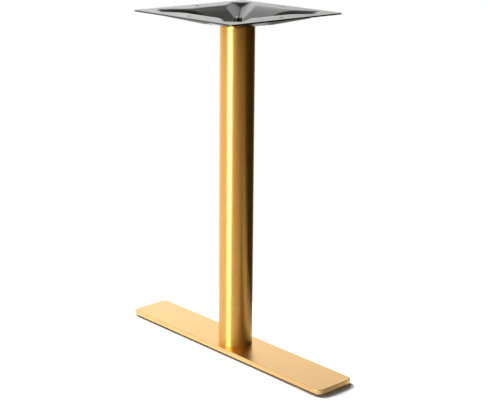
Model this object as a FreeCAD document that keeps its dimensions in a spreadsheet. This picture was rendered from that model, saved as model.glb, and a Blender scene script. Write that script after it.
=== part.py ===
import FreeCAD
import Part
import Sketcher
import math
import os
import re

# Pedestal table base: a narrow flat foot, a round column and a pressed square mounting plate.
# Millimetres. X runs along the foot, Z is up, and the origin is on the floor under the column.

doc = FreeCAD.newDocument("pedestal_table_base")

# Driving sizes
SIZES = {
    "overall_height": 732.0,
    "foot_length": 610.0,
    "foot_width": 98.0,
    "foot_corner_radius": 14.0,
    "floor_gap": 4.0,
    "cover_height": 9.5,
    "cover_wall": 1.2,
    "cover_edge_radius": 1.6,
    "ballast_thickness": 8.0,
    "ballast_clearance": 0.3,
    "column_diameter": 73.0,
    "column_wall": 1.5,
    "cup_clearance": 0.25,
    "cup_sheet": 2.0,
    "cup_height": 12.0,
    "cup_bend_radius": 3.0,
    "rod_diameter": 10.0,
    "rod_projection": 2.0,
    "rod_chamfer": 1.0,
    "rod_hole_clearance": 0.5,
    "thread_clearance": 0.05,
    "nut_across_flats": 16.0,
    "nut_height": 8.0,
    "nut_chamfer_height": 1.0,
    "washer_diameter": 30.0,
    "washer_thickness": 2.5,
    "lock_washer_diameter": 18.0,
    "lock_washer_thickness": 2.2,
    "lock_washer_split": 1.5,
    "mount_side": 300.0,
    "mount_sheet": 3.0,
    "mount_corner_radius": 4.0,
    "mount_hole_diameter": 8.5,
    "mount_hole_inset": 22.5,
    "dish_depth": 25.7,
    "dish_half_side": 88.0,
    "dish_slope": 0.52,
    "valley_reach": 163.0,
    "valley_end_slope": 0.4,
    "valley_end_half_width": 14.4,
    "valley_flare": 0.15,
    "valley_foot": 50.0,
    "valley_foot_depth": 25.6,
    "valley_rise": 0.189,
    "valley_overrun": 6.0,
    "glide_inset_x": 30.0,
    "glide_inset_y": 13.0,
    "glide_thread_diameter": 8.0,
    "glide_thread_length": 7.5,
    "glide_hex_flats": 13.0,
    "glide_hex_height": 2.6,
    "glide_stop_gap": 0.3,
    "glide_pad_diameter": 22.0,
    "glide_pad_height": 4.0,
    "glide_pad_round": 1.5,
}

sheet = doc.addObject("Spreadsheet::Sheet", "Sizes")
for row, (size_name, size_value) in enumerate(SIZES.items(), start=1):
    sheet.set("A%d" % row, size_name)
    sheet.set("B%d" % row, str(size_value))
    sheet.setAlias("B%d" % row, size_name)
doc.recompute()

# Levels and radii that several pieces share, as formulas of the driving sizes
COVER_TOP = "(floor_gap + cover_height)"
BALLAST_BOTTOM = "(floor_gap + cover_height - cover_wall - ballast_thickness)"
DISH_FLOOR = "(overall_height - dish_depth)"
COLUMN_TOP = "(overall_height - dish_depth - mount_sheet)"
COLUMN_BORE = "(column_diameter / 2 - column_wall)"
LOWER_NUT_SEAT = "(floor_gap + cover_height + cup_sheet)"
ROD_HOLE = "(rod_diameter / 2 + rod_hole_clearance)"
THREAD_BORE = "(rod_diameter / 2 + thread_clearance)"
GLIDE_X = "(foot_length / 2 - glide_inset_x)"
GLIDE_Y = "(foot_width / 2 - glide_inset_y)"


def formula(text):
    """A formula of size names, written for the document's expressions."""
    return re.sub(r"\b([a-z]+_[a-z_]+)\b", r"Sizes.\1", text)


def bind(thing, prop, text):
    thing.setExpression(prop, formula(text))


def new_body(label):
    body = doc.addObject("PartDesign::Body", label)
    body.Label = label
    return body


def sketch_on(body, name, role="XY_Plane", offset="0"):
    """A sketch on one of the body's own origin planes, moved along its normal."""
    sketch = body.newObject("Sketcher::SketchObject", name)
    plane = [feature for feature in body.Origin.OriginFeatures if feature.Role == role][0]
    sketch.AttachmentSupport = [(plane, "")]
    sketch.MapMode = "FlatFace"
    bind(sketch, "AttachmentOffset.Base.z", offset)
    return sketch


def pin_point(sketch, geometry, point, x_text, y_text, x_start, y_start):
    """Both coordinates of a sketch point follow formulas."""
    for kind, text, start in (("DistanceX", x_text, x_start), ("DistanceY", y_text, y_start)):
        index = sketch.addConstraint(Sketcher.Constraint(kind, geometry, point, start))
        bind(sketch, "Constraints[%d]" % index, text)


def draw_polygon(sketch, corners):
    """A closed outline whose corners are pairs of formulas."""
    count = len(corners)
    starts = []
    for index in range(count):
        angle = 2 * math.pi * index / count
        starts.append((50 + 20 * math.cos(angle), 50 + 20 * math.sin(angle)))
    first = sketch.GeometryCount
    for index in range(count):
        here = FreeCAD.Vector(starts[index][0], starts[index][1], 0)
        there = FreeCAD.Vector(*starts[(index + 1) % count], 0)
        sketch.addGeometry(Part.LineSegment(here, there), False)
    for index in range(count):
        following = first + (index + 1) % count
        sketch.addConstraint(Sketcher.Constraint("Coincident", first + index, 2, following, 1))
    for index, (x_text, y_text) in enumerate(corners):
        pin_point(sketch, first + index, 1, x_text, y_text, *starts[index])


def draw_rectangle(sketch, length, width):
    """A rectangle centred on the origin, as long and wide as the formulas say."""
    half_x = "(%s) / 2" % length
    half_y = "(%s) / 2" % width
    left = "-" + half_x
    bottom = "-" + half_y
    draw_polygon(sketch, [(left, bottom), (half_x, bottom), (half_x, half_y), (left, half_y)])


def draw_rounded_rectangle(sketch, length, width, radius):
    """A centred rectangle with round corners, as four arcs joined by tangent lines.

    It is first drawn at about the foot's size, near enough for the constraints to settle."""
    first = sketch.GeometryCount
    quarter = math.pi / 2
    start_radius = size("foot_corner_radius")
    start_x = size("foot_length") / 2 - start_radius
    start_y = size("foot_width") / 2 - start_radius
    directions = ((1, 1), (-1, 1), (-1, -1), (1, -1))
    for index, (x_sign, y_sign) in enumerate(directions):
        centre = FreeCAD.Vector(x_sign * start_x, y_sign * start_y, 0)
        circle = Part.Circle(centre, FreeCAD.Vector(0, 0, 1), start_radius)
        sketch.addGeometry(Part.ArcOfCircle(circle, index * quarter, (index + 1) * quarter), False)
    for index in range(4):
        arc = sketch.Geometry[first + index]
        following = sketch.Geometry[first + (index + 1) % 4]
        sketch.addGeometry(Part.LineSegment(arc.EndPoint, following.StartPoint), False)
    for index, (x_sign, y_sign) in enumerate(directions):
        arc = first + index
        line = first + 4 + index
        following = first + (index + 1) % 4
        sketch.addConstraint(Sketcher.Constraint("Tangent", arc, 2, line, 1))
        sketch.addConstraint(Sketcher.Constraint("Tangent", line, 2, following, 1))
        x_text = "%d * ((%s) / 2 - (%s))" % (x_sign, length, radius)
        y_text = "%d * ((%s) / 2 - (%s))" % (y_sign, width, radius)
        pin_point(sketch, arc, 3, x_text, y_text, x_sign * start_x, y_sign * start_y)
        if index > 0:
            sketch.addConstraint(Sketcher.Constraint("Equal", first, arc))
    constraint = sketch.addConstraint(Sketcher.Constraint("Radius", first, start_radius))
    bind(sketch, "Constraints[%d]" % constraint, radius)


def draw_circle(sketch, radius, x_text="0", y_text="0"):
    centre = FreeCAD.Vector(1, 1, 0)
    index = sketch.addGeometry(Part.Circle(centre, FreeCAD.Vector(0, 0, 1), 5), False)
    pin_point(sketch, index, 3, x_text, y_text, 1.0, 1.0)
    constraint = sketch.addConstraint(Sketcher.Constraint("Radius", index, 5.0))
    bind(sketch, "Constraints[%d]" % constraint, radius)


def draw_hexagon(sketch, across_flats):
    corner = "(%s) / sqrt(3)" % across_flats
    corners = []
    for step in range(6):
        turn = "%d deg" % (60 * step)
        corners.append(("%s * cos(%s)" % (corner, turn), "%s * sin(%s)" % (corner, turn)))
    draw_polygon(sketch, corners)


def add_pad(body, sketch, length, downward=False):
    pad = body.newObject("PartDesign::Pad", sketch.Name + "_pad")
    pad.Profile = sketch
    pad.Reversed = downward
    bind(pad, "Length", length)
    doc.recompute()
    return pad


def add_pocket(body, sketch, depth, upward=False):
    """A pocket that has to take material away from the body."""
    before = body.Shape.Volume
    pocket = body.newObject("PartDesign::Pocket", sketch.Name + "_pocket")
    pocket.Profile = sketch
    pocket.Reversed = upward
    bind(pocket, "Length", depth)
    doc.recompute()
    if body.Shape.Volume > before - 1e-3:
        raise RuntimeError("%s cuts nothing" % pocket.Name)
    return pocket


def add_turned(body, sketch, cut=False):
    """The sketch on the XZ plane turned a full circle about the upright axis."""
    kind = "PartDesign::Groove" if cut else "PartDesign::Revolution"
    before = body.Shape.Volume if cut else 0
    turned = body.newObject(kind, sketch.Name + "_turned")
    turned.Profile = sketch
    turned.ReferenceAxis = (sketch, ["V_Axis"])
    turned.Angle = 360
    doc.recompute()
    if cut and body.Shape.Volume > before - 1e-3:
        raise RuntimeError("%s cuts nothing" % turned.Name)
    return turned


def add_fillet(body, name, radius, wanted):
    """A fillet on those edges of the body's last feature that the test accepts."""
    last = body.Tip
    names = []
    for index, edge in enumerate(last.Shape.Edges, start=1):
        if wanted(edge):
            names.append("Edge%d" % index)
    fillet = body.newObject("PartDesign::Fillet", name)
    fillet.Base = (last, names)
    bind(fillet, "Radius", radius)
    doc.recompute()
    return fillet


def is_upright(edge):
    first, last = edge.Vertexes[0].Point, edge.Vertexes[-1].Point
    same_place = math.hypot(first.x - last.x, first.y - last.y) < 1e-6
    return same_place and abs(first.z - last.z) > 1e-6


def size(name):
    return float(sheet.get(name))


# Base cover: a thin brass-coloured stainless skin, pressed over the steel plate below it.
# Its edge is turned down all round, and the tie rod passes through one hole.
def make_base_cover():
    body = new_body("base_cover")
    outline = sketch_on(body, "cover_outline", offset="floor_gap")
    draw_rectangle(outline, "foot_length", "foot_width")
    add_pad(body, outline, "cover_height")
    add_fillet(body, "cover_corners", "foot_corner_radius", is_upright)
    top = size("floor_gap") + size("cover_height")
    add_fillet(body, "cover_rim", "cover_edge_radius",
               lambda edge: all(abs(v.Z - top) < 1e-6 for v in edge.Vertexes))
    inside = sketch_on(body, "cover_inside", offset="floor_gap")
    draw_rounded_rectangle(inside, "foot_length - 2 * cover_wall", "foot_width - 2 * cover_wall",
                           "foot_corner_radius - cover_wall")
    add_pocket(body, inside, "cover_height - cover_wall", upward=True)
    rod_hole = sketch_on(body, "cover_rod_hole", offset="floor_gap")
    draw_circle(rod_hole, ROD_HOLE)
    add_pocket(body, rod_hole, "cover_height", upward=True)
    return body


# Ballast plate: flat steel bar inside the cover. It carries the tapped holes for the glides
# and for the tie rod, and most of the foot's weight.
def make_ballast_plate():
    body = new_body("ballast_plate")
    outline = sketch_on(body, "ballast_outline", offset=BALLAST_BOTTOM)
    margin = "2 * (cover_wall + ballast_clearance)"
    draw_rounded_rectangle(outline, "foot_length - " + margin, "foot_width - " + margin,
                           "foot_corner_radius - cover_wall - ballast_clearance")
    add_pad(body, outline, "ballast_thickness")
    holes = sketch_on(body, "ballast_holes", offset=BALLAST_BOTTOM)
    draw_circle(holes, THREAD_BORE)
    for x_sign, y_sign in ((1, 1), (-1, 1), (-1, -1), (1, -1)):
        draw_circle(holes, "glide_thread_diameter / 2 + thread_clearance",
                    "%d * %s" % (x_sign, GLIDE_X), "%d * %s" % (y_sign, GLIDE_Y))
    add_pocket(body, holes, "ballast_thickness", upward=True)
    return body


# Column: round brass-coloured stainless tube, cut square at both ends.
def make_column_tube():
    body = new_body("column_tube")
    ring = sketch_on(body, "column_ring", offset=COVER_TOP)
    draw_circle(ring, "column_diameter / 2")
    draw_circle(ring, COLUMN_BORE)
    add_pad(body, ring, "%s - %s" % (COLUMN_TOP, COVER_TOP))
    return body


# Centring cup: a pressed steel cup that fits inside the end of the column.
# The lower one stands on the foot, and the upper one hangs under the mounting plate.
def make_centring_cup(label, seat, upward):
    body = new_body(label)
    sign = "" if upward else "-"
    half_section = sketch_on(body, label + "_section", role="XZ_Plane")
    outer = "(%s - cup_clearance)" % COLUMN_BORE
    inner = "(%s - cup_clearance - cup_sheet)" % COLUMN_BORE
    floor_face = "%s %scup_sheet" % (seat, "+ " if upward else "- ")
    lip = "%s %scup_height" % (seat, "+ " if upward else "- ")
    draw_polygon(half_section, [(ROD_HOLE, seat), (outer, seat), (outer, lip), (inner, lip),
                                (inner, floor_face), (ROD_HOLE, floor_face)])
    add_turned(body, half_section)
    seat_level = body.Shape.BoundBox.ZMin if upward else body.Shape.BoundBox.ZMax
    add_fillet(body, label + "_bend", "cup_bend_radius",
               lambda edge: is_ring(edge, size("column_diameter") / 2 - size("column_wall")
                                    - size("cup_clearance"), seat_level))
    return body


def is_ring(edge, radius, level):
    circle = edge.Curve
    round_edge = isinstance(circle, Part.Circle)
    return round_edge and abs(circle.Radius - radius) < 1e-4 and abs(circle.Center.z - level) < 1e-4


# Tie rod: a threaded steel rod through the middle, which clamps foot, column and plate.
# It is screwed into the ballast plate at the bottom.
def make_tie_rod():
    body = new_body("tie_rod")
    round_bar = sketch_on(body, "rod_round", offset=BALLAST_BOTTOM)
    draw_circle(round_bar, "rod_diameter / 2")
    top = "%s + washer_thickness + lock_washer_thickness + nut_height + rod_projection" % DISH_FLOOR
    add_pad(body, round_bar, "%s - %s" % (top, BALLAST_BOTTOM))
    bar = body.Tip
    names = []
    for index, edge in enumerate(bar.Shape.Edges, start=1):
        if isinstance(edge.Curve, Part.Circle):
            names.append("Edge%d" % index)
    ends = body.newObject("PartDesign::Chamfer", "rod_ends")
    ends.Base = (bar, names)
    bind(ends, "Size", "rod_chamfer")
    doc.recompute()
    return body


# Flat washer, plain steel.
def make_flat_washer(label, seat):
    body = new_body(label)
    ring = sketch_on(body, label + "_ring", offset=seat)
    draw_circle(ring, "washer_diameter / 2")
    draw_circle(ring, ROD_HOLE)
    add_pad(body, ring, "washer_thickness")
    return body


# Split lock washer: a spring steel ring cut through on one side.
def make_lock_washer(label, seat):
    body = new_body(label)
    ring = sketch_on(body, label + "_ring", offset=seat)
    draw_circle(ring, "lock_washer_diameter / 2")
    draw_circle(ring, ROD_HOLE)
    add_pad(body, ring, "lock_washer_thickness")
    split = sketch_on(body, label + "_split", offset=seat)
    near = "-lock_washer_split / 2"
    far = "lock_washer_split / 2"
    draw_polygon(split, [("0", near), ("lock_washer_diameter", near),
                         ("lock_washer_diameter", far), ("0", far)])
    add_pocket(body, split, "lock_washer_thickness", upward=True)
    return body


# Hexagon nut with chamfered corners on both faces.
def make_hex_nut(label, seat):
    body = new_body(label)
    hexagon = sketch_on(body, label + "_hexagon", offset=seat)
    draw_hexagon(hexagon, "nut_across_flats")
    draw_circle(hexagon, THREAD_BORE)
    add_pad(body, hexagon, "nut_height")
    inner = "nut_across_flats / 2"
    outer = "nut_across_flats / 2 + nut_chamfer_height * sqrt(3)"
    for face, direction in (("%s" % seat, "+"), ("%s + nut_height" % seat, "-")):
        corner_cut = sketch_on(body, "%s_corner_cut_%s" % (label, "low" if direction == "+" else "top"),
                               role="XZ_Plane")
        slope_end = "%s %s nut_chamfer_height" % (face, direction)
        draw_polygon(corner_cut, [(inner, face), (outer, face), (outer, slope_end)])
        add_turned(body, corner_cut, cut=True)
    return body


# Levelling glide, steel part: a short thread with a hexagon collar. The collar stops just
# under the ballast plate when the glide is screwed all the way in.
def make_glide_stud(label, x_text, y_text):
    body = new_body(label)
    collar_top = "(%s - glide_stop_gap)" % BALLAST_BOTTOM
    collar_bottom = "(%s - glide_stop_gap - glide_hex_height)" % BALLAST_BOTTOM
    collar = sketch_on(body, label + "_collar", offset=collar_bottom)
    draw_hexagon(collar, "glide_hex_flats")
    add_pad(body, collar, "glide_hex_height")
    thread = sketch_on(body, label + "_thread", offset=collar_top)
    draw_circle(thread, "glide_thread_diameter / 2")
    add_pad(body, thread, "glide_thread_length")
    bind(body, "Placement.Base.x", x_text)
    bind(body, "Placement.Base.y", y_text)
    return body


# Levelling glide, pad: a hard plastic disc moulded round the collar, which meets the floor.
def make_glide_pad(label, x_text, y_text):
    body = new_body(label)
    disc = sketch_on(body, label + "_disc")
    draw_circle(disc, "glide_pad_diameter / 2")
    add_pad(body, disc, "glide_pad_height")
    add_fillet(body, label + "_round", "glide_pad_round",
               lambda edge: is_ring(edge, size("glide_pad_diameter") / 2, 0))
    socket_floor = "(%s - glide_stop_gap - glide_hex_height)" % BALLAST_BOTTOM
    socket = sketch_on(body, label + "_socket", offset=socket_floor)
    draw_hexagon(socket, "glide_hex_flats")
    add_pocket(body, socket, "glide_pad_height", upward=True)
    bind(body, "Placement.Base.x", x_text)
    bind(body, "Placement.Base.y", y_text)
    return body


# Press form of the mounting plate's recess: a square funnel with one valley to each corner.
# With no growth it is the recess's upper face, and grown by the sheet it is the lower face.
def make_press_form(label, growth):
    body = new_body(label)
    add_funnel(body, label, growth)
    add_valleys(body, label, growth)
    body.Placement.Rotation = FreeCAD.Rotation(FreeCAD.Vector(0, 0, 1), 45)
    bind(body, "Placement.Base.z", "overall_height")
    return body


def add_funnel(body, label, growth):
    """The funnel's square lies with its corners on the axes, where the valleys run."""
    spread = "(%s * sqrt(1 + dish_slope ^ 2) / dish_slope)" % growth
    half_mouth = "(dish_half_side + %s)" % spread
    depth = "(dish_depth + %s)" % growth
    half_floor = "(%s - %s / dish_slope)" % (half_mouth, depth)
    sections = []
    for name, level, half_side in (("mouth", "0", half_mouth), ("floor", "-" + depth, half_floor)):
        section = sketch_on(body, "%s_%s" % (label, name), offset=level)
        corner = "%s * sqrt(2)" % half_side
        draw_polygon(section, [(corner, "0"), ("0", corner), ("-" + corner, "0"), ("0", "-" + corner)])
        sections.append(section)
    loft = body.newObject("PartDesign::AdditiveLoft", label + "_funnel")
    loft.Profile = sections[0]
    loft.Sections = sections[1:]
    loft.Ruled = True
    doc.recompute()


def add_valleys(body, label, growth):
    """One three-cornered valley along X with a sloping end facet, repeated four times."""
    tip = "(valley_reach + valley_overrun)"
    tip_depth = "(valley_foot_depth - (%s - valley_foot) * valley_rise)" % tip
    sections = []
    for name, place, depth in (("foot", "valley_foot", "valley_foot_depth"), ("tip", tip, tip_depth)):
        width = "(valley_end_half_width + (valley_reach - %s) * valley_flare)" % place
        drop = "%s * sqrt(1 + (%s / %s) ^ 2)" % (growth, depth, width)
        grown_depth = "(%s + %s)" % (depth, drop)
        grown_width = "(%s + %s * %s / %s)" % (width, drop, width, depth)
        section = sketch_on(body, "%s_valley_%s" % (label, name), role="YZ_Plane", offset=place)
        draw_polygon(section, [("-" + grown_width, "0"), ("0", "-" + grown_depth), (grown_width, "0")])
        sections.append(section)
    valley = body.newObject("PartDesign::AdditiveLoft", label + "_valley")
    valley.Profile = sections[0]
    valley.Sections = sections[1:]
    valley.Ruled = True
    doc.recompute()
    end_cut = sketch_on(body, label + "_valley_end", role="XZ_Plane")
    end = "(valley_reach + %s * sqrt(1 + valley_end_slope ^ 2) / valley_end_slope)" % growth
    low = "(2 * dish_depth)"
    outside = "(%s + 2 * valley_overrun)" % end
    draw_polygon(end_cut, [(end, "0"), ("%s - %s / valley_end_slope" % (end, low), "-" + low),
                           (outside, "-" + low), (outside, "0")])
    facet = body.newObject("PartDesign::Pocket", label + "_valley_end_facet")
    facet.Profile = end_cut
    facet.Midplane = True
    bind(facet, "Length", "8 * valley_end_half_width")
    doc.recompute()
    pattern = body.newObject("PartDesign::PolarPattern", label + "_valleys")
    pattern.Originals = [valley, facet]
    z_axis = [feature for feature in body.Origin.OriginFeatures if feature.Role == "Z_Axis"][0]
    pattern.Axis = (z_axis, [""])
    pattern.Angle = 360
    pattern.Occurrences = 4
    body.Tip = pattern
    doc.recompute()


# Flange of the mounting plate: a flat square sheet with round corners and a screw hole at
# the middle of each side.
def make_flange():
    body = new_body("plate_flange")
    square = sketch_on(body, "flange_square", offset="overall_height - mount_sheet")
    draw_rectangle(square, "mount_side", "mount_side")
    add_pad(body, square, "mount_sheet")
    add_fillet(body, "flange_corners", "mount_corner_radius", is_upright)
    holes = sketch_on(body, "flange_holes", offset="overall_height - mount_sheet")
    reach = "(mount_side / 2 - mount_hole_inset)"
    for x_text, y_text in ((reach, "0"), ("0", reach), ("-" + reach, "0"), ("0", "-" + reach)):
        draw_circle(holes, "mount_hole_diameter / 2", x_text, y_text)
    add_pocket(body, holes, "mount_sheet", upward=True)
    return body


# Mounting plate: one steel sheet, pressed down in the middle into a funnel with a valley to
# each corner. Its flat floor stands on the column, and the tie rod passes through it.
def make_mounting_plate():
    flange = make_flange()
    lower_face = make_press_form("lower_form", "mount_sheet")
    upper_face = make_press_form("upper_form", "0")
    rod_hole = sketch_on(upper_face, "plate_rod_hole", offset="-dish_depth")
    draw_circle(rod_hole, ROD_HOLE)
    add_pad(upper_face, rod_hole, "2 * mount_sheet", downward=True)
    blank = doc.addObject("Part::MultiFuse", "plate_blank")
    blank.Shapes = [flange, lower_face]
    plate = doc.addObject("Part::Cut", "mounting_plate")
    plate.Base = blank
    plate.Tool = upper_face
    doc.recompute()
    return plate


def main():
    make_base_cover()
    make_ballast_plate()
    make_column_tube()
    make_centring_cup("lower_centring_cup", COVER_TOP, True)
    make_centring_cup("upper_centring_cup", COLUMN_TOP, False)
    make_tie_rod()
    make_flat_washer("lower_washer", LOWER_NUT_SEAT)
    make_lock_washer("lower_lock_washer", LOWER_NUT_SEAT + " + washer_thickness")
    make_hex_nut("lower_nut", "(" + LOWER_NUT_SEAT + " + washer_thickness + lock_washer_thickness)")
    make_flat_washer("top_washer", DISH_FLOOR)
    make_lock_washer("top_lock_washer", DISH_FLOOR + " + washer_thickness")
    make_hex_nut("top_nut", "(" + DISH_FLOOR + " + washer_thickness + lock_washer_thickness)")
    make_mounting_plate()
    corners = ((1, 1), (-1, 1), (-1, -1), (1, -1))
    for number, (x_sign, y_sign) in enumerate(corners, start=1):
        x_text = "%d * %s" % (x_sign, GLIDE_X)
        y_text = "%d * %s" % (y_sign, GLIDE_Y)
        make_glide_stud("glide_stud_%d" % number, x_text, y_text)
        make_glide_pad("glide_pad_%d" % number, x_text, y_text)
    doc.recompute()
    for thing in doc.Objects:
        if "Invalid" in thing.State or "Error" in thing.State:
            raise RuntimeError("%s failed: %s" % (thing.Name, thing.State))
    os.makedirs("parts", exist_ok=True)
    helpers = ("plate_flange", "lower_form", "upper_form")
    for thing in doc.Objects:
        whole = thing.TypeId == "PartDesign::Body" or thing.Label == "mounting_plate"
        if whole and thing.Label not in helpers:
            shape = thing.Shape
            if shape.isNull() or not shape.isValid():
                raise RuntimeError("%s has no valid shape" % thing.Label)
            shape.exportStep("parts/%s.step" % thing.Label)
            box = shape.BoundBox
            print(thing.Label, round(shape.Volume, 1), len(shape.Solids), [round(value, 2) for value in (
                box.XMin, box.YMin, box.ZMin, box.XMax, box.YMax, box.ZMax)])


main()
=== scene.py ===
import math
import bmesh
import bpy
from mathutils import Matrix, Vector


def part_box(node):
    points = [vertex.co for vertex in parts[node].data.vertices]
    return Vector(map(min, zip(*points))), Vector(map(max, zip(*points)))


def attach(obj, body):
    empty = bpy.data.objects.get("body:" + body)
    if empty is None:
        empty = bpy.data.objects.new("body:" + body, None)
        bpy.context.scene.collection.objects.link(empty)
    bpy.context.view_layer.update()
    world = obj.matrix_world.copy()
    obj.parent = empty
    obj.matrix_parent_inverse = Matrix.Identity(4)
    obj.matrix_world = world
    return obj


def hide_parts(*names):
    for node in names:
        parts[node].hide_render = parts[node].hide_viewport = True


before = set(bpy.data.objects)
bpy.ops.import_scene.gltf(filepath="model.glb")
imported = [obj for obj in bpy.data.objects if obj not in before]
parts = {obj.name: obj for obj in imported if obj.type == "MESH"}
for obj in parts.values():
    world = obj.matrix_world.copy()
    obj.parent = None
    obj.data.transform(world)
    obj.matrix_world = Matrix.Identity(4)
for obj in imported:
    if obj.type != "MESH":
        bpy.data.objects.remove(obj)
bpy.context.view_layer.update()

# BASE COVER
# A thin stainless skin with a brass-coloured vapour coating, pressed over the flat foot and
# brushed along its length. Its edge is turned down over the ballast plate.

# Real brushing lines are about 0.1 mm apart. They are drawn coarser, so that they show.
GRAIN_MM = 0.45
GRAIN_LENGTH_MM = 1000 / 12
GRAIN_DEPTH_MM = 0.1
CLOUD_MM = 90.0
CLOUD_SQUEEZE = 0.35


def linear(hex_colour):
    """An sRGB hex colour as the linear values that a shader takes."""
    values = [int(hex_colour[i:i + 2], 16) / 255 for i in (1, 3, 5)]
    return [v / 12.92 if v <= 0.04045 else ((v + 0.055) / 1.055) ** 2.4 for v in values] + [1.0]


def add(tree, kind, links=(), values=(), **settings):
    """A new node with its settings, input values and input links."""
    made = tree.nodes.new("ShaderNode" + kind)
    for name, value in settings.items():
        setattr(made, name, value)
    for name, value in dict(values).items():
        made.inputs[name].default_value = value
    for name, socket in dict(links).items():
        tree.links.new(socket, made.inputs[name])
    return made


def new_finish(name):
    """An empty material with its shader, and the piece's own coordinates in metres."""
    finish = bpy.data.materials.new(name)
    finish.use_nodes = True
    tree = finish.node_tree
    tree.nodes.clear()
    shader = add(tree, "BsdfPrincipled")
    add(tree, "OutputMaterial", {"Surface": shader.outputs["BSDF"]})
    place = add(tree, "TexCoord").outputs["Object"]
    return finish, tree, shader, place


# Brushed stainless with a brass-coloured coating: a warm metal, softly blurred by the brushing
# lines, with faint clouds of colour and gloss that are drawn out along the foot.
skin, tree, shader, place = new_finish("brushed_brass_skin")
shader.inputs["Metallic"].default_value = 1.0
lines_place = add(tree, "Mapping", {"Vector": place},
                  {"Scale": (1000 / GRAIN_LENGTH_MM, 1000 / GRAIN_MM, 1000 / GRAIN_MM)})
lines = add(tree, "TexNoise", {"Vector": lines_place.outputs["Vector"]},
            {"Scale": 1.0, "Detail": 2.0, "Roughness": 0.6})
clouds_place = add(tree, "Mapping", {"Vector": place}, {"Scale": (CLOUD_SQUEEZE, 1.0, 1.0)})
clouds = add(tree, "TexNoise", {"Vector": clouds_place.outputs["Vector"]},
             {"Scale": 1000 / CLOUD_MM, "Detail": 3.0, "Roughness": 0.5})
both = add(tree, "Math", {0: lines.outputs["Fac"], 1: clouds.outputs["Fac"]}, operation="ADD")
half = add(tree, "Math", {0: both.outputs[0]}, {1: 0.5}, operation="MULTIPLY")
colour = add(tree, "ValToRGB", {"Fac": half.outputs[0]})
colour.color_ramp.elements[0].position = 0.36
colour.color_ramp.elements[0].color = linear("#F1C37D")
colour.color_ramp.elements[1].position = 0.64
colour.color_ramp.elements[1].color = linear("#F8CD8E")
tree.links.new(colour.outputs["Color"], shader.inputs["Base Color"])
gloss = add(tree, "MapRange", {"Value": both.outputs[0]},
            {"From Min": 0.7, "From Max": 1.3, "To Min": 0.24, "To Max": 0.34})
tree.links.new(gloss.outputs["Result"], shader.inputs["Roughness"])
dents = add(tree, "Bump", {"Height": lines.outputs["Fac"]},
            {"Strength": 0.06, "Distance": GRAIN_DEPTH_MM / 1000})
tree.links.new(dents.outputs["Normal"], shader.inputs["Normal"])
parts["base_cover"].data.materials[0] = skin

# BALLAST PLATE
# Flat hot-rolled steel bar inside the cover, which gives the foot its weight. It is painted
# thinly in black, and its rolling scale shows through.
SCALE_PATCH_MM = 14.0
PIT_MM = 10 / 9
PIT_DEPTH_MM = 0.3

# Black lacquer over rolling scale: near black with dark grey clouds, duller where it is grey,
# and finely pitted.
black_bar, tree, shader, place = new_finish("black_lacquered_rolled_steel")
patches = add(tree, "TexNoise", {"Vector": place},
              {"Scale": 1000 / SCALE_PATCH_MM, "Detail": 5.0, "Roughness": 0.62, "Distortion": 0.4})
colour = add(tree, "ValToRGB", {"Fac": patches.outputs["Fac"]})
colour.color_ramp.elements[0].position = 0.38
colour.color_ramp.elements[0].color = linear("#1C1B1B")
colour.color_ramp.elements[1].position = 0.68
colour.color_ramp.elements[1].color = linear("#34322F")
tree.links.new(colour.outputs["Color"], shader.inputs["Base Color"])
gloss = add(tree, "MapRange", {"Value": patches.outputs["Fac"]},
            {"From Min": 0.35, "From Max": 0.7, "To Min": 0.34, "To Max": 0.6})
tree.links.new(gloss.outputs["Result"], shader.inputs["Roughness"])
pits = add(tree, "TexNoise", {"Vector": place}, {"Scale": 1000 / PIT_MM, "Detail": 2.0})
dents = add(tree, "Bump", {"Height": pits.outputs["Fac"]},
            {"Strength": 0.25, "Distance": PIT_DEPTH_MM / 1000})
tree.links.new(dents.outputs["Normal"], shader.inputs["Normal"])
parts["ballast_plate"].data.materials[0] = black_bar

# COLUMN TUBE
# Round stainless tube with the same coating, cut square at both ends and brushed round and
# round on a belt. It stands on the cover, and the tie rod pulls it tight.
BELT_LINE_LENGTH_MM = 1000 / 18
BELT_LINE_DEPTH_MM = 0.05
BELT_BAND_LENGTH_MM = 1000 / 6
BELT_BAND_HEIGHT_MM = 1000 / 60

# Belt-brushed stainless with a brass-coloured coating: its lines go round the tube, so what it
# mirrors is drawn out up and down, and faint bands show where the belt pressed harder.
tube, tree, shader, place = new_finish("brushed_brass_tube")
shader.inputs["Metallic"].default_value = 1.0
shader.inputs["Anisotropic"].default_value = 0.95
shader.inputs["Anisotropic Rotation"].default_value = 0.25
along = add(tree, "Tangent", direction_type="RADIAL", axis="Z")
tree.links.new(along.outputs["Tangent"], shader.inputs["Tangent"])
lines_place = add(tree, "Mapping", {"Vector": place},
                  {"Scale": (1000 / BELT_LINE_LENGTH_MM, 1000 / BELT_LINE_LENGTH_MM, 1000 / GRAIN_MM)})
lines = add(tree, "TexNoise", {"Vector": lines_place.outputs["Vector"]},
            {"Scale": 1.0, "Detail": 2.0, "Roughness": 0.65})
bands_place = add(tree, "Mapping", {"Vector": place},
                  {"Scale": (1000 / BELT_BAND_LENGTH_MM, 1000 / BELT_BAND_LENGTH_MM,
                             1000 / BELT_BAND_HEIGHT_MM)})
bands = add(tree, "TexNoise", {"Vector": bands_place.outputs["Vector"]},
            {"Scale": 1.0, "Detail": 3.0, "Roughness": 0.55})
both = add(tree, "Math", {0: lines.outputs["Fac"], 1: bands.outputs["Fac"]}, operation="ADD")
half = add(tree, "Math", {0: both.outputs[0]}, {1: 0.5}, operation="MULTIPLY")
colour = add(tree, "ValToRGB", {"Fac": half.outputs[0]})
colour.color_ramp.elements[0].position = 0.36
colour.color_ramp.elements[0].color = linear("#ECB460")
colour.color_ramp.elements[1].position = 0.64
colour.color_ramp.elements[1].color = linear("#F1BC68")
tree.links.new(colour.outputs["Color"], shader.inputs["Base Color"])
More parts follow.
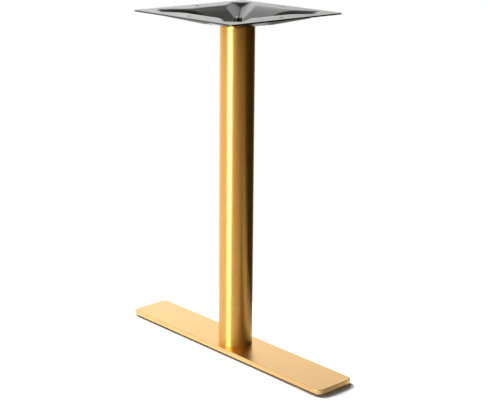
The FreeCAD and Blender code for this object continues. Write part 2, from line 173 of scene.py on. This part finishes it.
gloss = add(tree, "MapRange", {"Value": both.outputs[0]},
            {"From Min": 0.7, "From Max": 1.3, "To Min": 0.42, "To Max": 0.46})
tree.links.new(gloss.outputs["Result"], shader.inputs["Roughness"])
dents = add(tree, "Bump", {"Height": lines.outputs["Fac"]},
            {"Strength": 0.02, "Distance": BELT_LINE_DEPTH_MM / 1000})
tree.links.new(dents.outputs["Normal"], shader.inputs["Normal"])
parts["column_tube"].data.materials[0] = tube

# CENTRING CUPS
# Two cups pressed from plain steel sheet, one in each end of the column. They keep it in the
# middle of the foot and of the mounting plate, and nobody sees them once it is assembled.
DRAW_MARK_GAP_MM = 2.0
DRAW_MARK_LENGTH_MM = 25.0
DRAW_MARK_DEPTH_MM = 0.2

# Oiled steel as it leaves the press: a plain grey metal with faint upright marks from the tool.
cup_steel, tree, shader, place = new_finish("oiled_pressed_steel")
shader.inputs["Metallic"].default_value = 1.0
marks_place = add(tree, "Mapping", {"Vector": place},
                  {"Scale": (1000 / DRAW_MARK_GAP_MM, 1000 / DRAW_MARK_GAP_MM,
                             1000 / DRAW_MARK_LENGTH_MM)})
marks = add(tree, "TexNoise", {"Vector": marks_place.outputs["Vector"]}, {"Scale": 1.0, "Detail": 3.0})
colour = add(tree, "ValToRGB", {"Fac": marks.outputs["Fac"]})
colour.color_ramp.elements[0].position = 0.3
colour.color_ramp.elements[0].color = linear("#9A968F")
colour.color_ramp.elements[1].position = 0.7
colour.color_ramp.elements[1].color = linear("#B2AFAA")
tree.links.new(colour.outputs["Color"], shader.inputs["Base Color"])
gloss = add(tree, "MapRange", {"Value": marks.outputs["Fac"]},
            {"From Min": 0.3, "From Max": 0.7, "To Min": 0.3, "To Max": 0.48})
tree.links.new(gloss.outputs["Result"], shader.inputs["Roughness"])
dents = add(tree, "Bump", {"Height": marks.outputs["Fac"]},
            {"Strength": 0.15, "Distance": DRAW_MARK_DEPTH_MM / 1000})
tree.links.new(dents.outputs["Normal"], shader.inputs["Normal"])
for name in ("lower_centring_cup", "upper_centring_cup"):
    parts[name].data.materials[0] = cup_steel

# WASHERS AND LOWER NUT
# Stamped steel washers and a hexagon nut, zinc plated. The lower ones clamp the lower cup and
# the cover to the ballast plate, and the top washers lie under the top nut.
SPANGLE_MM = 1.2

# Bright zinc plating: a pale bluish metal with a faint spangle, each spot brighter and
# smoother in its middle. Real crystals are finer, and they are drawn coarser, so that they show.
zinc, tree, shader, place = new_finish("bright_zinc_plate")
shader.inputs["Metallic"].default_value = 1.0
spangle = add(tree, "TexVoronoi", {"Vector": place}, {"Scale": 1000 / SPANGLE_MM})
colour = add(tree, "ValToRGB", {"Fac": spangle.outputs["Distance"]})
colour.color_ramp.elements[0].color = linear("#D5D8DA")
colour.color_ramp.elements[1].color = linear("#B4B8BC")
tree.links.new(colour.outputs["Color"], shader.inputs["Base Color"])
gloss = add(tree, "MapRange", {"Value": spangle.outputs["Distance"]},
            {"From Min": 0.0, "From Max": 0.8, "To Min": 0.26, "To Max": 0.42})
tree.links.new(gloss.outputs["Result"], shader.inputs["Roughness"])
for name in ("lower_washer", "lower_lock_washer", "lower_nut", "top_washer", "top_lock_washer"):
    parts[name].data.materials[0] = zinc

# TIE ROD
# Zinc plated M10 rod through the middle, with a rolled thread at each end. It is screwed into
# the ballast plate below and carries the nut on the mounting plate above.
PITCH_MM = 1.5
THREAD_DEPTH_MM = 0.92
CREST_GAP_MM = 0.1
SHANK_GAP_MM = 0.05
TOP_THREAD_MM = 60.0
FOOT_THREAD_MM = 36.0
END_CHAMFER_MM = 1.0
SHANK_BEVEL_MM = 0.8
LAP_MM = 0.2
FLAT_END = 0.9
TURN_STEPS = 24
rod_low, rod_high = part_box("tie_rod")
rod_crest = rod_high.x - CREST_GAP_MM / 1000
rod_root = rod_crest - THREAD_DEPTH_MM / 1000
rod_shank = rod_high.x - SHANK_GAP_MM / 1000


def threaded(bm, low, high):
    """A rolled thread about the Z axis, wound as one ribbon and cut level at both ends."""
    pitch = PITCH_MM / 1000
    turns = math.ceil((high - low) / pitch) + 2
    start = low - pitch
    # Each pair is a radius and how far up one pitch it lies, from root to crest and back.
    profile = [(rod_root, 0.0), (rod_root, 0.12), (rod_crest, 0.44), (rod_crest, 0.62),
               (rod_root, 0.94), (rod_root, 1.0)]
    corners = [bm.verts.new((radius, 0.0, start + share * pitch)) for radius, share in profile]
    edges = [bm.edges.new(pair) for pair in zip(corners, corners[1:])]
    bmesh.ops.spin(bm, geom=corners + edges, axis=(0, 0, 1), cent=(0, 0, 0),
                   angle=2 * math.pi * turns, steps=TURN_STEPS * turns,
                   dvec=(0, 0, pitch / TURN_STEPS), use_merge=False)
    bmesh.ops.remove_doubles(bm, verts=bm.verts, dist=1e-6)
    for level, normal in ((low, -1), (high, 1)):
        cut = bmesh.ops.bisect_plane(bm, geom=bm.verts[:] + bm.edges[:] + bm.faces[:], dist=1e-7,
                                     plane_co=(0, 0, level), plane_no=(0, 0, normal), clear_outer=True)
        rim = [item for item in cut["geom_cut"] if isinstance(item, bmesh.types.BMEdge)]
        bmesh.ops.holes_fill(bm, edges=rim, sides=0)


def finish_piece(bm, name, finish):
    """The mesh as an object at the origin, with its normals outward and its finish on."""
    bmesh.ops.recalc_face_normals(bm, faces=bm.faces)
    mesh = bpy.data.meshes.new(name)
    bm.to_mesh(mesh)
    bm.free()
    made = bpy.data.objects.new(name, mesh)
    bpy.context.scene.collection.objects.link(made)
    mesh.materials.append(finish)
    return made


thread_bm = bmesh.new()
threaded(thread_bm, rod_high.z - TOP_THREAD_MM / 1000, rod_high.z)
for vert in thread_bm.verts:
    reach = math.hypot(vert.co.x, vert.co.y)
    allowed = rod_crest - max(0.0, vert.co.z - (rod_high.z - END_CHAMFER_MM / 1000))
    if reach > allowed:
        vert.co.x *= allowed / reach
        vert.co.y *= allowed / reach
top_thread = finish_piece(thread_bm, "tie_rod_top_thread", zinc)
thread_bm = bmesh.new()
threaded(thread_bm, rod_low.z, rod_low.z + FOOT_THREAD_MM / 1000)
foot_thread = finish_piece(thread_bm, "tie_rod_foot_thread", zinc)

# The plain shank laps a little into both threads, so that no slit shows between them.
shank_bm = bmesh.new()
shank_low = rod_low.z + FOOT_THREAD_MM / 1000 - LAP_MM / 1000
shank_high = rod_high.z - TOP_THREAD_MM / 1000 + LAP_MM / 1000
bmesh.ops.create_cone(shank_bm, cap_ends=True, segments=48, radius1=rod_shank, radius2=rod_shank,
                      depth=shank_high - shank_low,
                      matrix=Matrix.Translation((0, 0, (shank_low + shank_high) / 2)))
ends = [edge for edge in shank_bm.edges if abs(edge.verts[0].co.z - edge.verts[1].co.z) < 1e-6]
bmesh.ops.bevel(shank_bm, geom=ends, offset=SHANK_BEVEL_MM / 1000, affect="EDGES", segments=3,
                profile=0.5, material=-1)
shank = finish_piece(shank_bm, "tie_rod_shank", zinc)
for polygon in shank.data.polygons:
    polygon.use_smooth = abs(polygon.normal.z) < FLAT_END
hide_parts("tie_rod")
for piece in (top_thread, foot_thread, shank):
    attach(piece, "base")

# MOUNTING PLATE
# One 3 mm steel sheet, drawn down under a press into a funnel with a valley to each corner,
# so every bend is a soft curve. It is dipped in a dark glossy finish that mirrors the room.
PLATE_SHEET_MM = 3.0
HALF_SIDE_MM = 150.0
CORNER_MM = 4.0
MOUTH_MM = 87.0
DISH_MM = 25.7
WALL_SLOPE = 0.52
SHOULDER_MM = 20.0
FLOOR_BEND_MM = 2.5
VALLEY_REACH_MM = 164.0
VALLEY_START_MM = 58.0
VALLEY_DEPTH_MM = 27.5
VALLEY_RISE = 0.19
VALLEY_HALF_WIDTH_MM = 21.0
VALLEY_FLARE = 0.17
VALLEY_END_SLOPE = 0.55
CELL_MM = 2.0
BEND_PASSES = 8
STIFF_MIDDLE_MM = 38.0
STIFF_RIM_MM = 3.0
SCREW_PLACE_MM = 127.5
SCREW_RADIUS_MM = 4.25
SCREW_PATCH_MM = 6.0
ROD_HOLE_MM = 5.5
ROD_PATCH_MM = 8.0
SHARP_ANGLE = 0.7
plate_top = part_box("mounting_plate")[1].z


def bent(rise, half_bend):
    """A slope that starts at zero in a round bend instead of a sharp one."""
    if abs(rise) < half_bend:
        return (rise + half_bend) ** 2 / (4 * half_bend)
    return max(0.0, rise)


def pressed_depth(x, y):
    """How far the press draws the sheet down at a place, all in millimetres."""
    wall = WALL_SLOPE * bent(MOUTH_MM - max(abs(x), abs(y)), SHOULDER_MM)
    wall = DISH_MM - bent(DISH_MM - wall, FLOOR_BEND_MM)
    reach = (abs(x) + abs(y)) * math.sqrt(0.5)
    across = abs(abs(x) - abs(y)) * math.sqrt(0.5)
    half_width = VALLEY_HALF_WIDTH_MM + max(0.0, VALLEY_REACH_MM - reach) * VALLEY_FLARE
    keel = min(DISH_MM, VALLEY_DEPTH_MM - (reach - VALLEY_START_MM) * VALLEY_RISE)
    valley = keel * (1 - across / half_width)
    return max(0.0, wall, min(valley, (VALLEY_REACH_MM - reach) * VALLEY_END_SLOPE))


plate_bm = bmesh.new()
cells = round(2 * HALF_SIDE_MM / CELL_MM)
bmesh.ops.create_grid(plate_bm, x_segments=cells, y_segments=cells, size=HALF_SIDE_MM)
for vert in plate_bm.verts:
    vert.co.z = -pressed_depth(vert.co.x, vert.co.y)

# The flat middle and the outermost rim stay as drawn, and the folds between them get softer.
bending = [vert for vert in plate_bm.verts
           if STIFF_MIDDLE_MM < max(abs(vert.co.x), abs(vert.co.y)) < HALF_SIDE_MM - STIFF_RIM_MM]
for step in range(BEND_PASSES):
    bmesh.ops.smooth_vert(plate_bm, verts=bending, factor=0.5, use_axis_z=True)

# Each hole takes a square patch of cells out, and its ring is bridged to the patch's border.
holes = [(0, 0, -DISH_MM, ROD_HOLE_MM, ROD_PATCH_MM)]
for x, y in ((1, 0), (0, 1), (-1, 0), (0, -1)):
    holes.append((x * SCREW_PLACE_MM, y * SCREW_PLACE_MM, 0, SCREW_RADIUS_MM, SCREW_PATCH_MM))
for x, y, z, radius, half_patch in holes:
    gone = []
    for face in plate_bm.faces:
        middle = face.calc_center_median()
        if abs(middle.x - x) < half_patch and abs(middle.y - y) < half_patch:
            gone.append(face)
    border = {edge for face in gone for edge in face.edges
              if sum(other in gone for other in edge.link_faces) == 1}
    bmesh.ops.delete(plate_bm, geom=gone, context="FACES")
    ring = bmesh.ops.create_circle(plate_bm, segments=len(border), radius=radius,
                                   matrix=Matrix.Translation((x, y, z)))["verts"]
    border |= {edge for vert in ring for edge in vert.link_edges}
    bmesh.ops.bridge_loops(plate_bm, edges=list(border))

# The plate's four outer corners are rounded off, and then the sheet gets its thickness.
for vert in plate_bm.verts:
    past = Vector((max(abs(vert.co.x) - HALF_SIDE_MM + CORNER_MM, 0),
                   max(abs(vert.co.y) - HALF_SIDE_MM + CORNER_MM, 0)))
    if past.length > CORNER_MM:
        past *= CORNER_MM / past.length
        vert.co.x = math.copysign(HALF_SIDE_MM - CORNER_MM + past.x, vert.co.x)
        vert.co.y = math.copysign(HALF_SIDE_MM - CORNER_MM + past.y, vert.co.y)
bmesh.ops.recalc_face_normals(plate_bm, faces=plate_bm.faces)
bmesh.ops.solidify(plate_bm, geom=plate_bm.faces[:], thickness=PLATE_SHEET_MM)
bmesh.ops.scale(plate_bm, verts=plate_bm.verts, vec=(0.001, 0.001, 0.001))
bmesh.ops.translate(plate_bm, verts=plate_bm.verts,
                    vec=(0, 0, plate_top - max(vert.co.z for vert in plate_bm.verts)))

# Charcoal stoving lacquer, dipped and glossy: dark, with a soft mirror image of the room in a
# thick coat that is slightly wavy.
COAT_CLOUD_MM = 1000 / 18
PEEL_MM = 2.5
PEEL_DEPTH_MM = 0.4
lacquer, tree, shader, place = new_finish("gloss_charcoal_lacquer")
shader.inputs["Coat Weight"].default_value = 0.7
shader.inputs["Coat Roughness"].default_value = 0.12
cloud = add(tree, "TexNoise", {"Vector": place},
            {"Scale": 1000 / COAT_CLOUD_MM, "Detail": 4.0, "Roughness": 0.6})
colour = add(tree, "ValToRGB", {"Fac": cloud.outputs["Fac"]})
colour.color_ramp.elements[0].position = 0.3
colour.color_ramp.elements[0].color = linear("#242323")
colour.color_ramp.elements[1].position = 0.75
colour.color_ramp.elements[1].color = linear("#2E2D2C")
tree.links.new(colour.outputs["Color"], shader.inputs["Base Color"])
gloss = add(tree, "MapRange", {"Value": cloud.outputs["Fac"]},
            {"From Min": 0.3, "From Max": 0.7, "To Min": 0.24, "To Max": 0.36})
tree.links.new(gloss.outputs["Result"], shader.inputs["Roughness"])
peel = add(tree, "TexNoise", {"Vector": place}, {"Scale": 1000 / PEEL_MM, "Detail": 1.0})
dents = add(tree, "Bump", {"Height": peel.outputs["Fac"]},
            {"Strength": 0.08, "Distance": PEEL_DEPTH_MM / 1000})
tree.links.new(dents.outputs["Normal"], shader.inputs["Normal"])
for face in plate_bm.faces:
    face.smooth = True
for edge in plate_bm.edges:
    edge.smooth = edge.calc_face_angle(0) < SHARP_ANGLE
plate = finish_piece(plate_bm, "pressed_plate", lacquer)
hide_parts("mounting_plate")
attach(plate, "base")

# TOP NUT
# Hexagon nut of steel, blackened in an oxide bath. It is screwed down on the rod and clamps
# plate, column and foot together.
NUT_CORNER_MM = 9.24
RUB_STARTS_MM = 0.7
RUB_FULL_MM = 0.1
SCRATCH_MM = 10 / 7

# Black oxide on steel: a thin dull black that a spanner has rubbed off at the corners, where
# the bright steel shows in scratches.
black_nut, tree, shader, place = new_finish("black_oxide_nut")
across = add(tree, "Mapping", {"Vector": place}, {"Scale": (1.0, 1.0, 0.0)})
reach = add(tree, "VectorMath", {0: across.outputs["Vector"]}, operation="LENGTH")
scratch = add(tree, "TexNoise", {"Vector": place}, {"Scale": 1000 / SCRATCH_MM, "Detail": 4.0})
worn = add(tree, "MapRange", {"Value": reach.outputs["Value"]},
           {"From Min": (NUT_CORNER_MM - RUB_STARTS_MM) / 1000,
            "From Max": (NUT_CORNER_MM - RUB_FULL_MM) / 1000}, interpolation_type="SMOOTHSTEP")
rubbed = add(tree, "Math", {0: worn.outputs["Result"], 1: scratch.outputs["Fac"]}, operation="MULTIPLY")
bright = add(tree, "MapRange", {"Value": rubbed.outputs[0]},
             {"From Min": 0.18, "From Max": 0.5}, interpolation_type="SMOOTHSTEP")
colour = add(tree, "ValToRGB", {"Fac": bright.outputs["Result"]})
colour.color_ramp.elements[0].color = linear("#1D1D1E")
colour.color_ramp.elements[1].color = linear("#C4C3BF")
tree.links.new(colour.outputs["Color"], shader.inputs["Base Color"])
tree.links.new(bright.outputs["Result"], shader.inputs["Metallic"])
gloss = add(tree, "MapRange", {"Value": scratch.outputs["Fac"]},
            {"From Min": 0.3, "From Max": 0.7, "To Min": 0.3, "To Max": 0.5})
tree.links.new(gloss.outputs["Result"], shader.inputs["Roughness"])
parts["top_nut"].data.materials[0] = black_nut

# LEVELLING GLIDES
# Four zinc plated screws in the ballast plate, each with a disc of hard black nylon moulded
# round its collar. The base stands on the discs, and each is turned to level it.
GLIDES = (1, 2, 3, 4)
SPARK_MM = 0.6
SPARK_DEPTH_MM = 0.2

# Nylon from a mould that was eroded by sparks: black, with a fine matt grain. The real grain is
# about 0.1 mm, and it is drawn coarser, so that it shows.
nylon, tree, shader, place = new_finish("moulded_black_nylon")
grain = add(tree, "TexNoise", {"Vector": place}, {"Scale": 1000 / SPARK_MM, "Detail": 3.0})
colour = add(tree, "ValToRGB", {"Fac": grain.outputs["Fac"]})
colour.color_ramp.elements[0].color = linear("#151515")
colour.color_ramp.elements[1].color = linear("#262626")
tree.links.new(colour.outputs["Color"], shader.inputs["Base Color"])
gloss = add(tree, "MapRange", {"Value": grain.outputs["Fac"]},
            {"From Min": 0.3, "From Max": 0.7, "To Min": 0.42, "To Max": 0.6})
tree.links.new(gloss.outputs["Result"], shader.inputs["Roughness"])
dents = add(tree, "Bump", {"Height": grain.outputs["Fac"]},
            {"Strength": 0.3, "Distance": SPARK_DEPTH_MM / 1000})
tree.links.new(dents.outputs["Normal"], shader.inputs["Normal"])
for number in GLIDES:
    parts["glide_stud_%d" % number].data.materials[0] = zinc
    parts["glide_pad_%d" % number].data.materials[0] = nylon

# STUDIO
# A sheet of white paper in a room that is pale on the left and behind, and dark on the right.
# A tall window light on the left draws the bright line on the column.
CAMERA_AT = Vector((1.8424, -1.6574, 1.0268))
CAMERA_AZIMUTH = math.radians(47.65)
CAMERA_DOWN = math.radians(15.61)
CAMERA_ROLL = math.radians(0.5)
LENS_MM = 89.6
FILM_WIDTH_MM = 36.0
to_camera = Vector((math.sin(CAMERA_AZIMUTH), -math.cos(CAMERA_AZIMUTH), 0))
to_right = Vector((math.cos(CAMERA_AZIMUTH), math.sin(CAMERA_AZIMUTH), 0))
forward = -to_camera * math.cos(CAMERA_DOWN) - Vector((0, 0, math.sin(CAMERA_DOWN)))
upward = -to_camera * math.sin(CAMERA_DOWN) + Vector((0, 0, math.cos(CAMERA_DOWN)))
rolled_right = to_right * math.cos(CAMERA_ROLL) + upward * math.sin(CAMERA_ROLL)
rolled_up = -to_right * math.sin(CAMERA_ROLL) + upward * math.cos(CAMERA_ROLL)
camera_data = bpy.data.cameras.new("camera")
camera_data.lens = LENS_MM
camera_data.sensor_width = FILM_WIDTH_MM
camera_data.clip_start = 0.05
camera_data.clip_end = 60.0
camera = bpy.data.objects.new("camera", camera_data)
bpy.context.scene.collection.objects.link(camera)
turn = Matrix((rolled_right, rolled_up, -forward)).transposed().to_4x4()
camera.matrix_world = Matrix.Translation(CAMERA_AT) @ turn
bpy.context.scene.camera = camera

# The sheet ends close behind the foot, so that the column's right side mirrors the dark room
# there and not the white paper.
PAPER_MIDDLE_Y = -0.33
PAPER_HALF_LENGTH = 0.7
PAPER_HALF_WIDTH = 0.55
table_bm = bmesh.new()
bmesh.ops.create_grid(table_bm, x_segments=1, y_segments=1, size=1.0,
                      matrix=Matrix.Translation((0, PAPER_MIDDLE_Y, 0))
                      @ Matrix.Diagonal((PAPER_HALF_LENGTH, PAPER_HALF_WIDTH, 1, 1)))
table_mesh = bpy.data.meshes.new("white_sheet")
table_bm.to_mesh(table_mesh)
table_bm.free()
table = bpy.data.objects.new("white_sheet", table_mesh)
bpy.context.scene.collection.objects.link(table)

# Matt white paper, with no shine of its own. To the camera it is white, apart from the thin
# shadow where the foot, within SHADE_REACH, stands between it and the lamp.
SHADE_REACH = 0.05
SHADE_EDGE = (0.7, 0.8)
TO_LAMP = (-0.6, 0.06, 0.8)
SHOWN_WHITE = 0.85
MIRRORED_WHITE = 0.18
table_white = bpy.data.materials.new("matt_white_paper")
table_white.use_nodes = True
tree = table_white.node_tree
tree.nodes.clear()
shader = add(tree, "BsdfPrincipled", values={"Base Color": (0.93, 0.93, 0.93, 1.0), "Roughness": 0.9,
                                             "Specular IOR Level": 0.0, "Emission Color": (1, 1, 1, 1)})
rays = add(tree, "LightPath")
to_lamp = add(tree, "CombineXYZ", values=zip("XYZ", TO_LAMP))
open_sky = add(tree, "AmbientOcclusion", {"Normal": to_lamp.outputs["Vector"]}, {"Distance": SHADE_REACH})
lit = add(tree, "MapRange", {"Value": open_sky.outputs["AO"]},
          {"From Min": SHADE_EDGE[0], "From Max": SHADE_EDGE[1], "To Max": SHOWN_WHITE})
shown = add(tree, "Math", {0: rays.outputs["Is Camera Ray"], 1: lit.outputs["Result"]}, operation="MULTIPLY")
strength = add(tree, "Math", {0: rays.outputs["Is Glossy Ray"], 2: shown.outputs[0]}, {1: MIRRORED_WHITE},
               operation="MULTIPLY_ADD")
tree.links.new(strength.outputs[0], shader.inputs["Emission Strength"])
add(tree, "OutputMaterial", {"Surface": shader.outputs["BSDF"]})
table.data.materials.append(table_white)

# A lit white panel stands behind, a metre high. The foot mirrors all of it, but the mounting
# plate mirrors only its top edge and the dark room above, as its walls tilt. The camera looks
# through it, since it would hide the object from behind.
PANEL_RADIUS = 1.35
PANEL_HEIGHT = 1.0
PANEL_STARTS = math.radians(156)
PANEL_SWEEP = math.radians(84)
panel_bm = bmesh.new()
start = Matrix.Rotation(PANEL_STARTS, 3, "Z") @ to_camera * PANEL_RADIUS
foot_end = panel_bm.verts.new(start)
head_end = panel_bm.verts.new(start + Vector((0, 0, PANEL_HEIGHT)))
post = panel_bm.edges.new((foot_end, head_end))
bmesh.ops.spin(panel_bm, geom=[foot_end, head_end, post], axis=(0, 0, 1), cent=(0, 0, 0),
               angle=PANEL_SWEEP, steps=42)
panel_mesh = bpy.data.meshes.new("white_panel")
panel_bm.to_mesh(panel_mesh)
panel_bm.free()
panel = bpy.data.objects.new("white_panel", panel_mesh)
bpy.context.scene.collection.objects.link(panel)

# White cloth lit from behind: brightest low down, a little weaker on its right, and at
# DIFFUSE_SHARE for diffuse surfaces, so that the lamp's shadow stays crisp.
DIFFUSE_SHARE = 0.4
FADE_HEIGHTS = (0.6, 0.82)
FADE_LEVELS = (1.3, 1.08)
RIGHT_STARTS = (-0.2, 0.35)
RIGHT_SHARE = 0.83
panel_white = bpy.data.materials.new("lit_white_panel")
panel_white.use_nodes = True
tree = panel_white.node_tree
tree.nodes.clear()
place = add(tree, "TexCoord").outputs["Object"]
above_floor = add(tree, "SeparateXYZ", {0: place}).outputs["Z"]
by_height = add(tree, "MapRange", {"Value": above_floor},
                {"From Min": FADE_HEIGHTS[0], "From Max": FADE_HEIGHTS[1],
                 "To Min": FADE_LEVELS[0], "To Max": FADE_LEVELS[1]})
beside = add(tree, "VectorMath", {0: place}, {1: to_right}, operation="DOT_PRODUCT")
by_side = add(tree, "MapRange", {"Value": beside.outputs["Value"]},
              {"From Min": RIGHT_STARTS[0], "From Max": RIGHT_STARTS[1],
               "To Min": 1.0, "To Max": RIGHT_SHARE})
shade = add(tree, "Math", {0: by_height.outputs["Result"], 1: by_side.outputs["Result"]},
            operation="MULTIPLY")
rays = add(tree, "LightPath")
soft = add(tree, "Math", {0: rays.outputs["Is Diffuse Ray"]}, {1: DIFFUSE_SHARE - 1, 2: 1.0},
           operation="MULTIPLY_ADD")
shade = add(tree, "Math", {0: shade.outputs[0], 1: soft.outputs[0]}, operation="MULTIPLY")
lamp = add(tree, "Emission", {"Strength": shade.outputs[0]})
add(tree, "OutputMaterial", {"Surface": lamp.outputs["Emission"]})
panel.data.materials.append(panel_white)
panel.visible_shadow = False
panel.visible_camera = False

# The room's grey levels, by the side on which it lies as seen from the camera: position 0.5 is
# the camera's own side, 0.25 its left, 0.75 its right, and 0 and 1 are behind the object.
# WINDOW and WARMTH give the share of the window's light and of the warm tint there.
WALLS = ((0.0, 0.92), (0.03, 1.08), (0.22, 1.08), (0.29, 1.15), (0.411, 1.1), (0.467, 0.5),
         (0.522, 0.27), (0.575, 0.17), (0.633, 0.1), (0.697, 0.07), (0.772, 0.04), (0.90, 0.04),
         (0.944, 0.3), (0.972, 0.65), (1.0, 0.92))
MIDDLE = ((0.0, 0.75), (0.03, 0.85), (0.06, 1.0), (0.36, 1.1), (0.44, 0.8), (0.52, 0.6),
          (0.62, 0.34), (0.72, 0.05), (0.88, 0.05), (0.93, 0.62), (0.965, 0.62), (0.98, 0.15),
          (1.0, 0.15))
UPPER = ((0.0, 0.6), (0.04, 1.0), (0.15, 1.1), (0.36, 1.0), (0.44, 0.65), (0.58, 0.4),
         (0.72, 0.06), (0.88, 0.06), (0.93, 0.34), (1.0, 0.34))
WINDOW = ((0.325, 0.0), (0.345, 1.0), (0.386, 1.0), (0.407, 0.0))
WARMTH = ((0.43, 0.0), (0.5, 1.0), (0.78, 1.0), (0.86, 0.0))
# Heights are the sine of the angle above the floor.
MIDDLE_STARTS = (0.14, 0.24)
UPPER_STARTS = (0.42, 0.5)
CEILING_STARTS = (0.68, 0.78)
WINDOW_FADES = (0.5, 0.75)
WINDOW_STRENGTH = 9.5
WARM_TINT = (1.0, 0.78, 0.38, 1.0)
CEILING_GREY = (0.13, 0.13, 0.13, 1.0)
world = bpy.data.worlds.new("studio")
bpy.context.scene.world = world
world.use_nodes = True
tree = world.node_tree
tree.nodes.clear()
way = add(tree, "TexCoord").outputs["Generated"]
side = add(tree, "VectorMath", {0: way}, {1: to_right}, operation="DOT_PRODUCT")
near = add(tree, "VectorMath", {0: way}, {1: to_camera}, operation="DOT_PRODUCT")
height = add(tree, "SeparateXYZ", {0: way}).outputs["Z"]
round_about = add(tree, "Math", {0: side.outputs["Value"], 1: near.outputs["Value"]}, operation="ARCTAN2")
share = add(tree, "MapRange", {"Value": round_about.outputs[0]},
            {"From Min": -math.pi, "From Max": math.pi})
bands = []
for stops in (WALLS, MIDDLE, UPPER, WINDOW, WARMTH):
    band = add(tree, "ValToRGB", {"Fac": share.outputs["Result"]})
    for position, value in stops[1:-1]:
        band.color_ramp.elements.new(position)
    for element, (position, value) in zip(band.color_ramp.elements, stops):
        element.position = position
        element.color = (value, value, value, 1.0)
    bands.append(band.outputs["Color"])
walls, middle, upper, window, warmth = bands
room = walls
for (low_edge, high_edge), above in ((MIDDLE_STARTS, middle), (UPPER_STARTS, upper)):
    raised = add(tree, "MapRange", {"Value": height}, {"From Min": low_edge, "From Max": high_edge})
    room = add(tree, "MixRGB", {"Fac": raised.outputs["Result"], "Color1": room,
                                "Color2": above}).outputs["Color"]
room = add(tree, "MixRGB", {"Fac": warmth, "Color1": room}, {"Color2": WARM_TINT},
           blend_type="MULTIPLY").outputs["Color"]
top = add(tree, "MapRange", {"Value": height},
          {"From Min": CEILING_STARTS[0], "From Max": CEILING_STARTS[1]})
whole = add(tree, "MixRGB", {"Fac": top.outputs["Result"], "Color1": room}, {"Color2": CEILING_GREY})
low_part = add(tree, "MapRange", {"Value": height},
               {"From Min": WINDOW_FADES[1], "From Max": WINDOW_FADES[0], "To Max": WINDOW_STRENGTH})
strip = add(tree, "Math", {0: window, 1: low_part.outputs["Result"]}, operation="MULTIPLY")

# Only shiny surfaces mirror the window, diffuse ones get DIFFUSE_SHARE of the room, and the
# camera sees plain white instead of it.
seen = add(tree, "LightPath")
shiny = add(tree, "Math", {0: strip.outputs[0], 1: seen.outputs["Is Glossy Ray"]}, operation="MULTIPLY")
soft = add(tree, "Math", {0: seen.outputs["Is Diffuse Ray"]}, {1: DIFFUSE_SHARE - 1, 2: 1.0},
           operation="MULTIPLY_ADD")
plain = add(tree, "MixRGB", {"Color1": whole.outputs["Color"], "Color2": soft.outputs[0]}, {"Fac": 1.0},
            blend_type="MULTIPLY")
light = add(tree, "MixRGB", {"Color1": plain.outputs["Color"], "Color2": shiny.outputs[0]}, {"Fac": 1.0},
            blend_type="ADD")
level = add(tree, "MixRGB", {"Fac": seen.outputs["Is Camera Ray"], "Color1": light.outputs["Color"]},
            {"Color2": (1.0, 1.0, 1.0, 1.0)})
backdrop = add(tree, "Background", {"Color": level.outputs["Color"]})
add(tree, "OutputWorld", {"Surface": backdrop.outputs["Background"]})

# A distant softbox, behind the object and to its left, throws the shadow. Shiny surfaces don't
# mirror it.
SOFTBOX_AT = Vector((-3.8, 0.1, 3.0))
SOFTBOX_SIZE = 0.9
SOFTBOX_WATTS = 300.0
softbox_data = bpy.data.lights.new("softbox", "AREA")
softbox_data.size = SOFTBOX_SIZE
softbox_data.energy = SOFTBOX_WATTS
softbox = bpy.data.objects.new("softbox", softbox_data)
softbox.visible_glossy = False
bpy.context.scene.collection.objects.link(softbox)
softbox_turn = SOFTBOX_AT.to_track_quat("Z", "Y").to_matrix().to_4x4()
softbox.matrix_world = Matrix.Translation(SOFTBOX_AT) @ softbox_turn
bpy.context.scene.view_settings.view_transform = "Standard"
